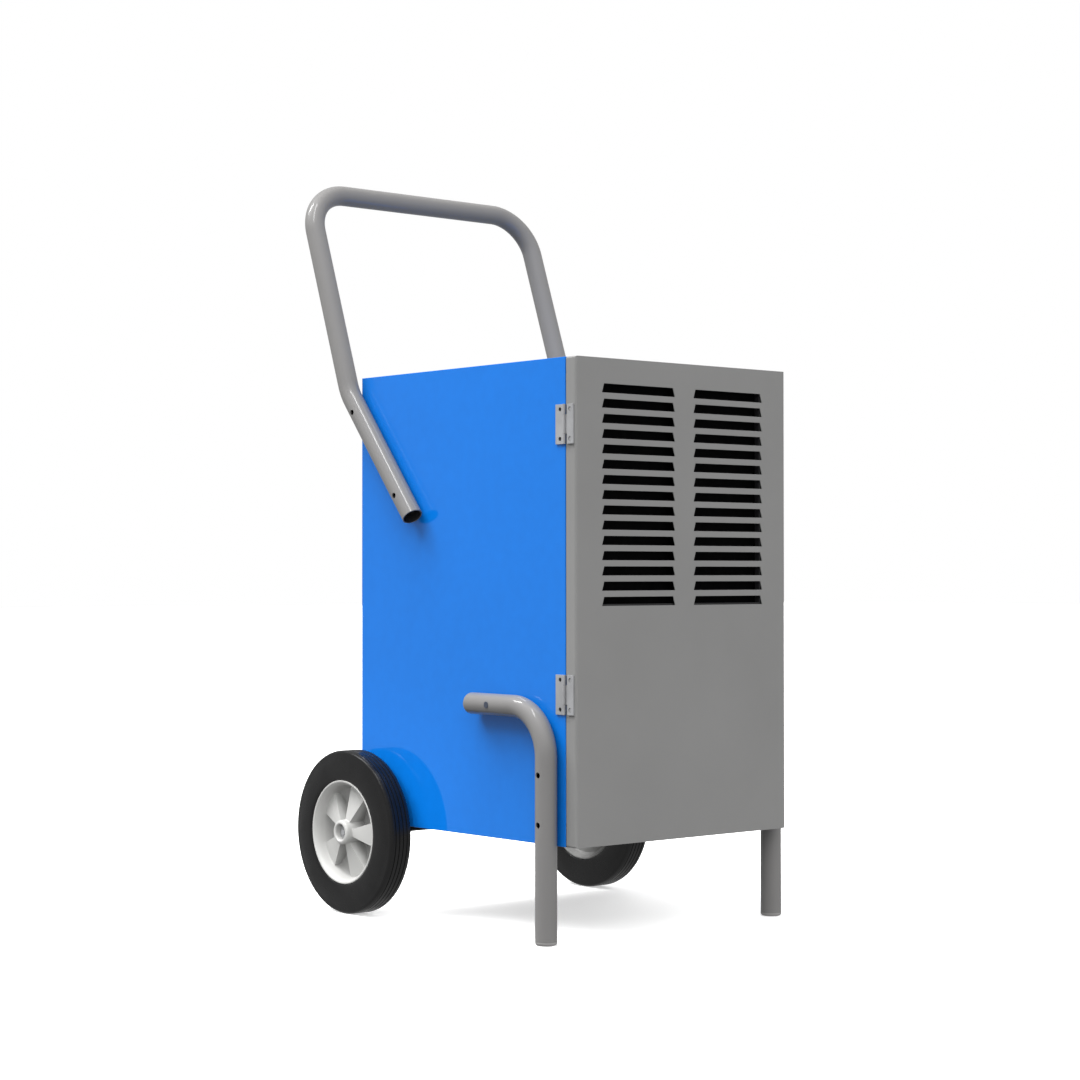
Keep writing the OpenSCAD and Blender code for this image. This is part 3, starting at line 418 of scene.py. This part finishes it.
def dress(node, rounding):
    """The node's own shape with its hard edges rounded by that many millimetres."""
    bm = bmesh.new()
    bm.from_mesh(frame["nodes"][node].data)
    bmesh.ops.remove_doubles(bm, verts=bm.verts, dist=WELD)
    bmesh.ops.dissolve_limit(
        bm, angle_limit=FLAT_ANGLE, verts=bm.verts, edges=bm.edges, use_dissolve_boundaries=False
    )
    hard = [edge for edge in bm.edges if edge.is_manifold and edge.calc_face_angle(0) > HARD_ANGLE]
    bmesh.ops.bevel(
        bm, geom=hard, offset=rounding * MM, segments=2, profile=0.6, affect="EDGES", clamp_overlap=True
    )
    made = piece(node + "_dressed", bm, slot_of[node], body_of[node], nodes=[node], cabinet=False)
    normals = made.modifiers.new("Normals", "WEIGHTED_NORMAL")
    normals.keep_sharp = True


def ring_mesh(rings, inner=()):
    """A quad mesh through rings of points, the last ring joined to the first.

    The bands whose numbers are in inner take the piece's second material, which in the tubes is painted
    shade in their bores.
    """
    bm = bmesh.new()
    made = [[bm.verts.new(point) for point in ring] for ring in rings]
    for band, (ring, following) in enumerate(zip(made, made[1:] + made[:1])):
        for i in range(len(ring)):
            j = (i + 1) % len(ring)
            face = bm.faces.new((ring[i], ring[j], following[j], following[i]))
            face.material_index = int(band in inner)
    bmesh.ops.recalc_face_normals(bm, faces=bm.faces)
    return bm


def turned(profile, place, segments):
    """Rings of (radius, distance) pairs about the local Z axis, put in place by a matrix."""
    angles = [2 * math.pi * k / segments for k in range(segments)]
    return [
        [place @ Vector((r * math.cos(a), r * math.sin(a), s)) for a in angles] for r, s in profile
    ]


def bent_line(points, bends, step=math.radians(4)):
    """Points and directions along a line whose inner corners are rounded by the bends."""
    points = [Vector(p) for p in points]
    line = [(points[0], (points[1] - points[0]).normalized())]
    for corner, before, after, bend in zip(points[1:], points, points[2:], bends):
        along = (corner - before).normalized()
        out = (after - corner).normalized()
        turn = along.angle(out)
        axis = along.cross(out).normalized()
        start = corner - along * bend * math.tan(turn / 2)
        centre = start + axis.cross(along) * bend
        count = max(3, math.ceil(turn / step))
        for i in range(count + 1):
            rotation = Matrix.Rotation(turn * i / count, 3, axis)
            line.append((centre + rotation @ (start - centre), rotation @ along))
    line.append((points[-1], (points[-1] - points[-2]).normalized()))
    return line


def tube_rings(line, radii, segments=56):
    """Rings about each point of the line, carried along it without twist."""
    across = line[0][1].orthogonal().normalized()
    rings = []
    for (point, direction), radius in zip(line, radii):
        across = (across - direction * across.dot(direction)).normalized()
        other = direction.cross(across)
        rings.append([
            point + (across * math.cos(a) + other * math.sin(a)) * radius
            for a in (2 * math.pi * k / segments for k in range(segments))
        ])
    return rings


def shifted(line, index, distance):
    """The line's point of that index, moved along its direction."""
    point, direction = line[index]
    return (point + direction * distance, direction)


def cut(obj, cutter_bm):
    """Cuts the closed cutter mesh out of the object, for good."""
    mesh = bpy.data.meshes.new("cutter")
    cutter_bm.to_mesh(mesh)
    cutter_bm.free()
    cutter = bpy.data.objects.new("cutter", mesh)
    scene.collection.objects.link(cutter)
    modifier = obj.modifiers.new("cut", "BOOLEAN")
    modifier.operation, modifier.solver, modifier.object = "DIFFERENCE", "EXACT", cutter
    bpy.context.view_layer.update()
    done = bpy.data.meshes.new_from_object(obj.evaluated_get(bpy.context.evaluated_depsgraph_get()))
    obj.modifiers.remove(modifier)
    obj.data = done
    done.polygons.foreach_set("use_smooth", [True] * len(done.polygons))
    done.set_sharp_from_angle(angle=HARD_ANGLE)
    bpy.data.objects.remove(cutter)


def along_x(x, y, z):
    """Local +Z onto cabinet +X, from that point."""
    return Matrix.Translation((x, y, z)) @ Matrix.Rotation(math.pi / 2, 4, "Y")


def access_holes(side, places):
    """Closed cylinders through the outer wall of a tube on that side, at (y, z) places."""
    bm = bmesh.new()
    for y, z in places:
        bmesh.ops.create_cone(
            bm, cap_ends=True, segments=32, radius1=SCREW_ACCESS_R, radius2=SCREW_ACCESS_R, depth=TUBE_R,
            matrix=along_x(side * (TUBE_X + TUBE_R * 0.75), y, z),
        )
    bmesh.ops.transform(bm, matrix=CABINET, verts=bm.verts)
    return bm


def quarter(steps):
    """Angles from 0 to a quarter turn."""
    return [math.pi / 2 * i / steps for i in range(steps + 1)]


# ---- Handle and legs ----

KNEE_Y, KNEE_Z = 504.5, 676
KNEE_BEND = 90
KNEE_TURN = math.radians(20)
ARM_LEAN = math.radians(19.5)
ARM_ABOVE_KNEE = 283.8 + TUBE_BEND
ARM_BELOW_KNEE = 257.5
ARM_HOLES = [(367.5, 509.8), (477.6, 643.4)]
END_CHAMFER = 0.5


def arm_points(x):
    """Where an arm ends, turns at its knee and meets the crossbar."""
    low_lean = ARM_LEAN + KNEE_TURN
    end = (x, KNEE_Y - ARM_BELOW_KNEE * math.sin(low_lean), KNEE_Z - ARM_BELOW_KNEE * math.cos(low_lean))
    top = (x, KNEE_Y + ARM_ABOVE_KNEE * math.sin(ARM_LEAN), KNEE_Z + ARM_ABOVE_KNEE * math.cos(ARM_LEAN))
    return end, (x, KNEE_Y, KNEE_Z), top


def handle():
    """Push handle: one bent tube, open at both ends, with holes over the screws that hold it."""
    left, right = arm_points(-TUBE_X), arm_points(TUBE_X)
    line = bent_line([*left, *reversed(right)], [KNEE_BEND, TUBE_BEND, TUBE_BEND, KNEE_BEND])
    line = [line[0], shifted(line, 0, END_CHAMFER), *line[1:-1], shifted(line, -1, -END_CHAMFER), line[-1]]
    count = len(line)
    outer_radii = [TUBE_R - END_CHAMFER, *[TUBE_R] * (count - 2), TUBE_R - END_CHAMFER]
    inner_radii = [TUBE_INNER_R + END_CHAMFER, *[TUBE_INNER_R] * (count - 2), TUBE_INNER_R + END_CHAMFER]
    rings = tube_rings(line, outer_radii) + tube_rings(line, inner_radii)[::-1]
    bm = ring_mesh(rings, inner=range(count, 2 * count - 1))
    # Inside, the tube is painted near-black, as painted shade in its open ends.
    made = piece("handle_bar", bm, "tube_paint", "cabinet", nodes=["handle_tube"], bore_shade_look="dark_steel")
    for side in SIDES:
        cut(made, access_holes(side, ARM_HOLES))


LEG_Y = 25
LEG_RUN_Z = 198
LEG_TIP_Y = 200.5
LEG_TIP_R = 7
FOOT_HEIGHT = 5
LEG_LOW = FOOT_HEIGHT - UNDERSIDE_LIFT
LEG_HOLES = [(LEG_Y, 31.3), (LEG_Y, 102.4)]
CENTRE_R = 0.05


def leg(side):
    """Leg: a tube with a rounded, closed tip, which bends down to an open end over its foot plug."""
    x = side * TUBE_X
    name = SIDES[side]
    corners = [(x, LEG_TIP_Y - LEG_TIP_R, LEG_RUN_Z), (x, LEG_Y, LEG_RUN_Z), (x, LEG_Y, LEG_LOW)]
    line = bent_line(corners, [TUBE_BEND])
    tip = [
        (TUBE_R - LEG_TIP_R + LEG_TIP_R * math.cos(angle), LEG_TIP_R * math.sin(angle))
        for angle in reversed(quarter(6))
    ]
    outside = [shifted(line, 0, -LEG_TIP_R), *[shifted(line, 0, -rise) for _, rise in tip], *line[1:]]
    inside = [*[shifted(line, 0, TUBE_WALL - LEG_TIP_R)] * 2, *line[1:]]
    straight = len(line) - 1
    outer_radii = [CENTRE_R, *[radius for radius, _ in tip], *[TUBE_R] * straight]
    inner_radii = [CENTRE_R, TUBE_INNER_R - 3, *[TUBE_INNER_R] * straight]
    rings = tube_rings(outside, outer_radii) + tube_rings(inside, inner_radii)[::-1]
    bm = ring_mesh(rings, inner=range(len(outside), len(rings) - 1))
    # Inside, the tube is painted near-black, as painted shade in its open end.
    made = piece(
        f"{name}_leg", bm, "tube_paint", "cabinet", nodes=[f"{name}_leg_tube"], bore_shade_look="dark_steel"
    )
    cut(made, access_holes(side, LEG_HOLES))


# ---- Wheels: profiles are radii about the axle and distances along it ----

WHEEL_R = 127
TYRE_W = 45
AXLE_Y = 468.5
AXLE_Z = WHEEL_R - UNDERSIDE_LIFT
HUB_R = 78
RIM_R = 80.8
BOSS_R = 19
BORE_R = 8.1


def wheel_piece(side, name, bm, look, sharp, node):
    """The right wheel's mesh as a piece of either wheel: the left one is its mirror image."""
    where = SIDES[side]
    if side < 0:
        bmesh.ops.scale(bm, vec=(-1, 1, 1), verts=bm.verts)
        bmesh.ops.recalc_face_normals(bm, faces=bm.faces)
    piece(f"{where}_{name}", bm, look, f"{where}_wheel", sharp, [f"{where}_{node}"])


SHOULDER_R = 5
GROOVE_PITCH = 7
GROOVE_DEPTH = 1.4


def tyre(side):
    """Solid tyre: bulged sidewalls, round shoulders and four grooves round its tread."""
    half = TYRE_W / 2
    bead = [
        (HUB_R + 0.2, 0), (HUB_R + 0.2, half - 4.3), (HUB_R + 3, half - 4.3), (HUB_R + 3.2, half - 1.8),
        (HUB_R + 3.9, half - 1.0), (HUB_R + 5.2, half - 0.5),
    ]
    sidewall = [
        (88, half - 0.1), (94, half), (101, half - 0.1), (108, half - 0.6), (114, half - 1.4),
        (119, half - 2.4),
    ]
    shoulder = [
        (WHEEL_R - 5.4 + SHOULDER_R * math.sin(angle), half - 7.6 + SHOULDER_R * math.cos(angle))
        for angle in quarter(5)
    ]
    groove = [
        (WHEEL_R, 0.95), (WHEEL_R - 0.3, 0.7), (WHEEL_R - GROOVE_DEPTH, 0.45),
        (WHEEL_R - GROOVE_DEPTH, -0.45), (WHEEL_R - 0.3, -0.7), (WHEEL_R, -0.95),
    ]
    tread = [(WHEEL_R, half - 8.3)]
    tread += [(r, GROOVE_PITCH * place + s) for place in (1.5, 0.5) for r, s in groove]
    right_half = bead + sidewall + shoulder + tread
    profile = right_half + [(r, -s) for r, s in reversed(right_half[1:])]
    bm = ring_mesh(turned(profile, along_x(WHEEL_IN + half, AXLE_Y, AXLE_Z), 160))
    wheel_piece(side, "solid_tyre", bm, "tyre_rubber", 38, "tyre")


SPOKES = 5
SPOKE_TURN = math.radians(36.3)
SPOKE_DRAFT = 1.1
SPOKE_STEPS = 10
# Each pair of (radius, value) pairs gives the value's straight run along the radius.
SPOKE_HALF_WIDTH = (9, 4), (80, 26)
SPOKE_TOP = (BOSS_R, 37.5), (73, 26.5)
DISH_FLOOR = (BOSS_R, 10), (65, 16.5)


def at_radius(r, run):
    """The value at a radius on a straight run."""
    (inner, start), (outer, end) = run
    return start + (end - start) * (r - inner) / (outer - inner)


def spoke_stations(r):
    """Angles round the hub at a radius, and whether each is on top of a spoke: 1, or 0."""
    half = math.atan2(at_radius(r, SPOKE_HALF_WIDTH), r)
    top_half = half - SPOKE_DRAFT / r
    gap = 2 * math.pi / SPOKES - 2 * half
    made = []
    for k in range(SPOKES):
        middle = SPOKE_TURN + 2 * math.pi * k / SPOKES
        made.append((middle - half, 0))
        made += [(middle - top_half + 2 * top_half * i / SPOKE_STEPS, 1) for i in range(SPOKE_STEPS + 1)]
        made.append((middle + half, 0))
        made += [(middle + half + gap * i / SPOKE_STEPS, 0) for i in range(1, SPOKE_STEPS)]
    return made


def hub_ring(r, s, spoke_rise=0.0):
    """Points round the axle at a radius, s from the wheel's inner face and higher on the spokes."""
    return [
        Vector((
            WHEEL_IN + s + spoke_rise * on_spoke,
            AXLE_Y + r * math.cos(angle),
            AXLE_Z + r * math.sin(angle),
        ))
        for angle, on_spoke in spoke_stations(r)
    ]


def hub(side):
    """Dished hub with five spokes that widen and slope down to the rim, and a bored boss."""
    boss = [
        (BORE_R, 36), (12, 36), (12, 45.2), (12.3, 46.5), (13, 47.4), (14.2, 48), (15.6, 47.9),
        (17, 47.3), (18.2, 46.2), (18.8, 45), (BOSS_R, 43.6), (BOSS_R + 0.2, 38.3),
    ]
    floor = [
        (r, at_radius(r, DISH_FLOOR)) for r in (BOSS_R + 0.9, 22, 26, 32, 40, 48, 56, 62, 65)
    ]
    fillet = [(67.3, 17.4), (69, 19.2), (70, 21.6), (70.8, 24.6), (71.5, 28)]
    flank = [(72.3, 32), (73.4, 36), (74.8, 39.4), (76.4, 42), (77.9, 43.5), (79.6, 43.8), (80.6, 43.2)]
    tyre_seat = [
        (RIM_R, 42.4), (RIM_R, 41), (HUB_R, 41), (HUB_R, 4), (RIM_R, 4), (RIM_R, 2.4), (80.2, 1.6),
        (78.6, 1.2), (77, 2),
    ]
    back = [
        (75, 6), (73, 11), (70, 13), (62, 12.5), (24, 7), (20, 6.6), (BOSS_R, 6), (BOSS_R, 3.6),
        (18.3, 3.05), (8.8, 3.05), (BORE_R, 3.6),
    ]
    rings = [hub_ring(r, s) for r, s in boss]
    rings += [hub_ring(r, s, max(0.0, at_radius(r, SPOKE_TOP) - s)) for r, s in floor + fillet]
    rings += [hub_ring(r, s) for r, s in flank + tyre_seat + back]
    wheel_piece(side, "spoked_hub", ring_mesh(rings), "hub_plastic", 28, "wheel_hub")


handle()
for side in SIDES:
    leg(side)
    tyre(side)
    hub(side)


# ---- Pieces that keep their CAD shape ----

# How far each node's hard edges are rounded, in millimetres.
EDGES = {
    "left_side_panel": 0.7, "right_side_panel": 0.7, "top_cover": 0.7, "front_door": 0.45,
    "rear_panel": 0.45, "base_tray": 0.5, "hinge_body_leaves": 0.3, "hinge_door_leaves": 0.3,
    "filter_frame": 0.6, "leg_foot_plugs": 0.4, "axle_brackets": 0.6, "axle": 0.6, "axle_spacers": 0.3,
    "axle_end_screws": 0.4, "water_tank": 1.2, "control_panel": 0.5, "display_window": 0.3,
    "power_inlet": 0.6, "rocker_bezel": 0.6, "rocker_switch": 0.4, "power_button": 0.4,
    "up_button": 0.4, "down_button": 0.4, "timer_button": 0.4, "compressor": 1.2, "fan_impeller": 0.5,
    "fan_motor": 1.5, "fan_motor_bracket": 0.5, "fan_shroud": 0.4, "drip_tray": 0.5,
    "divider_shelf": 0.4, "tank_bulkhead": 0.4, "door_magnets": 0.8, "tank_float": 0.6,
    "float_switch": 0.8, "hinge_door_screws": 0.7, "hinge_body_screws": 0.4, "panel_screws": 0.5,
    "tube_screws": 0.5, "coil_end_plates": 0.3,
}
for node, rounding in EDGES.items():
    dress(node, rounding)

# The nodes that no piece stands for show as they are, in the look of their slot.
for node, obj in frame["nodes"].items():
    obj.data.materials.clear()
    obj.data.materials.append(LOOKS[slot_of[node]])


# ---- Marks on the keys and digits on the display, read by a person who faces the door ----
# Outlines are (u, v) points: u to the right of the reader, v away from them.

MARK_HEIGHT = 0.12
MARK_SUNK = 0.1


def arc(inner, outer, start, turn, steps=20):
    """Outline of a curved bar between two radii."""
    angles = [start + turn * i / steps for i in range(steps + 1)]
    out = [(outer * math.cos(a), outer * math.sin(a)) for a in angles]
    back = [(inner * math.cos(a), inner * math.sin(a)) for a in reversed(angles)]
    return out + back


def bar(u, v, width, height):
    """Outline of a straight bar round (u, v)."""
    left, right = u - width / 2, u + width / 2
    near, far = v - height / 2, v + height / 2
    return [(left, near), (right, near), (right, far), (left, far)]


def marks(name, node, outlines, look, body):
    """Raised prisms of the outlines on the top face of the node."""
    low, high = (TO_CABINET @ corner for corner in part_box(node))
    middle = (low + high) / 2
    bm = bmesh.new()
    for outline in outlines:
        bottom, top = (
            [bm.verts.new((middle.x + u, middle.y + v, z)) for u, v in outline]
            for z in (high.z - MARK_SUNK, high.z + MARK_HEIGHT)
        )
        for i in range(len(outline)):
            j = (i + 1) % len(outline)
            bm.faces.new((bottom[i], bottom[j], top[j], top[i]))
        bm.faces.new(top)
        bm.faces.new(bottom[::-1])
    bmesh.ops.recalc_face_normals(bm, faces=bm.faces)
    piece(name, bm, look, body)


UP = [(-3.6, -2.3), (3.6, -2.3), (0, 3.7)]
DOWN = [(-u, -v) for u, v in UP]
CLOCK = [
    arc(3.6, 4.4, 0, math.pi), arc(3.6, 4.4, math.pi, math.pi), bar(0, 1.2, 0.8, 2.4), bar(1.3, 0, 1.6, 0.8),
]
POWER = [arc(3.2, 4.2, math.radians(125), math.radians(290), 32), bar(0, 3, 1, 3.6)]
marks("up_mark", "up_button", [UP], "black_plastic", "up_key")
marks("down_mark", "down_button", [DOWN], "black_plastic", "down_key")
marks("timer_mark", "timer_button", CLOCK, "black_plastic", "timer_key")
marks("power_mark", "power_button", POWER, "tray_plastic", "power_key")

DIGIT_HEIGHT, DIGIT_WIDTH, DIGIT_PITCH = 15, 8, 12.5
STROKE = 1.5
STROKE_GAP = 1.4 * STROKE
DIGIT_HALF_W, DIGIT_HALF_H = DIGIT_WIDTH / 2, DIGIT_HEIGHT / 2
ACROSS = (DIGIT_WIDTH - STROKE_GAP, STROKE)
UPRIGHT = (STROKE, DIGIT_HALF_H - STROKE_GAP)
SEGMENTS = {
    "top": (0, DIGIT_HALF_H, *ACROSS),
    "middle": (0, 0, *ACROSS),
    "bottom": (0, -DIGIT_HALF_H, *ACROSS),
    "upper_left": (-DIGIT_HALF_W, DIGIT_HALF_H / 2, *UPRIGHT),
    "upper_right": (DIGIT_HALF_W, DIGIT_HALF_H / 2, *UPRIGHT),
    "lower_left": (-DIGIT_HALF_W, -DIGIT_HALF_H / 2, *UPRIGHT),
    "lower_right": (DIGIT_HALF_W, -DIGIT_HALF_H / 2, *UPRIGHT),
}
FIVE = ("top", "upper_left", "middle", "lower_right", "bottom")
ZERO = ("top", "upper_left", "upper_right", "lower_left", "lower_right", "bottom")


def digit(segments, shift):
    """Outlines of a digit's segments, its middle at that shift to the right."""
    return [bar(u + shift, v, width, height) for u, v, width, height in map(SEGMENTS.get, segments)]


FIFTY = digit(FIVE, -DIGIT_PITCH / 2) + digit(ZERO, DIGIT_PITCH / 2)
marks("display_digits", "display_window", FIFTY, "grey_key", "cabinet")


# ---- Floor, light and camera, in metres ----

FLOOR_HALF = 30
FLOOR_DROP = 0.0005
FLOOR_COLOUR = (0.93, 0.93, 0.93)
FLOOR_GLOW = 0.5


def floor_look():
    """Pale matt floor with a glow of its own, which shows it as white as the world behind it."""
    look = Look("FloorWhite")
    look.paint(look.tones(look.noise(1.5, detail=2), FLOOR_COLOUR, 0.995, 1.0))
    look.gloss(look.spread(look.noise(3), 0.68, 0.72))
    look.shader.inputs["Emission Color"].default_value = shade(FLOOR_COLOUR, 1.0)
    look.shader.inputs["Emission Strength"].default_value = FLOOR_GLOW
    return look.material


def pale_floor():
    """A wide floor just below the wheels, which casts no light or reflection on the object."""
    bm = bmesh.new()
    bmesh.ops.create_grid(bm, x_segments=8, y_segments=8, size=FLOOR_HALF)
    mesh = bpy.data.meshes.new("floor")
    bm.to_mesh(mesh)
    bm.free()
    mesh.materials.append(floor_look())
    floor = bpy.data.objects.new("floor", mesh)
    floor.location.z = cad_box[0].z - FLOOR_DROP
    floor.visible_diffuse = floor.visible_glossy = False
    scene.collection.objects.link(floor)


def light(name, kind, source, reflected, place=(0, 0, 0), **settings):
    """A light that shines from the source's direction, and shows in glossy surfaces if reflected."""
    data = bpy.data.lights.new(name, kind)
    for setting, value in settings.items():
        setattr(data, setting, value)
    made = bpy.data.objects.new(name, data)
    made.location = place
    made.rotation_euler = Vector(source).to_track_quat("Z", "Y").to_euler()
    made.visible_glossy = reflected
    scene.collection.objects.link(made)


def sun(name, source, angle, strength):
    """A broad sun that shades and casts shadows but shows in no reflection."""
    light(name, "SUN", source, False, angle=math.radians(angle), energy=strength)


STRIP_WIDTH = 0.35


def strip(name, place, target, length, power):
    """A narrow softbox along Y, whose reflection draws the bright lines on the tubes."""
    source = Vector(place) - Vector(target)
    light(
        name, "AREA", source, True, place, shape="RECTANGLE", size=STRIP_WIDTH, size_y=length,
        energy=power,
    )


def spot(name, place, target, cone, power):
    """A narrow soft spot, which shows in no reflection."""
    source = Vector(place) - Vector(target)
    light(
        name, "SPOT", source, False, place, spot_size=math.radians(cone), spot_blend=0.6,
        shadow_soft_size=0.2, energy=power,
    )


AMBIENT = 0.45


def white_world():
    """A world that is white in view, and lights the object at the ambient strength."""
    world = bpy.data.worlds.new("Studio")
    world.use_nodes = True
    tree = world.node_tree
    seen = tree.nodes.new("ShaderNodeLightPath").outputs["Is Camera Ray"]
    strength = tree.nodes.new("ShaderNodeMapRange")
    strength.inputs["To Min"].default_value = AMBIENT
    tree.links.new(seen, strength.inputs["Value"])
    tree.links.new(strength.outputs["Result"], tree.nodes["Background"].inputs["Strength"])
    tree.nodes["Background"].inputs["Color"].default_value = (1, 1, 1, 1)
    scene.world = world
    scene.view_settings.view_transform = "Standard"


LENS, SENSOR_WIDTH = 78.70, 36
CAMERA_PLACE = (-2.41636, -2.85533, 0.52906)
HEADING, PITCH, ROLL = (math.radians(angle) for angle in (40.24, 0.83, -0.03))


def photo_camera():
    """The camera, in front of the cabinet, to its left and level with its middle."""
    data = bpy.data.cameras.new("camera")
    data.lens, data.sensor_width = LENS, SENSOR_WIDTH
    camera = bpy.data.objects.new("camera", data)
    camera.location = CAMERA_PLACE
    turned_right = Matrix.Rotation(-HEADING, 3, "Z")
    tilted_up = Matrix.Rotation(math.pi / 2 + PITCH, 3, "X")
    camera.rotation_euler = (turned_right @ tilted_up @ Matrix.Rotation(ROLL, 3, "Z")).to_euler()
    scene.collection.objects.link(camera)
    scene.camera = camera


pale_floor()
white_world()
sun("key", (-1.0, 0.65, 2.1), 50, 5.1)
sun("front_left", (-0.6, -1.0, 0.9), 50, 1.75)
sun("front_right", (0.6, -1.0, 0.3), 60, 1.2)
sun("rear_right", (1.0, 0.8, 0.5), 60, 1.7)
spot("wheel_kicker", (-2.0, -1.1, 0.75), (-0.27, 0.16, 0.127), 5.5, 330)
strip("strip_back", (-1.5, 1.75, 3.5), (-0.23, -0.25, 0.33), 1.4, 45)
strip("strip_front", (-1.2, -0.5, 3.5), (-0.23, -0.1, 0.5), 1.55, 27)
photo_camera()
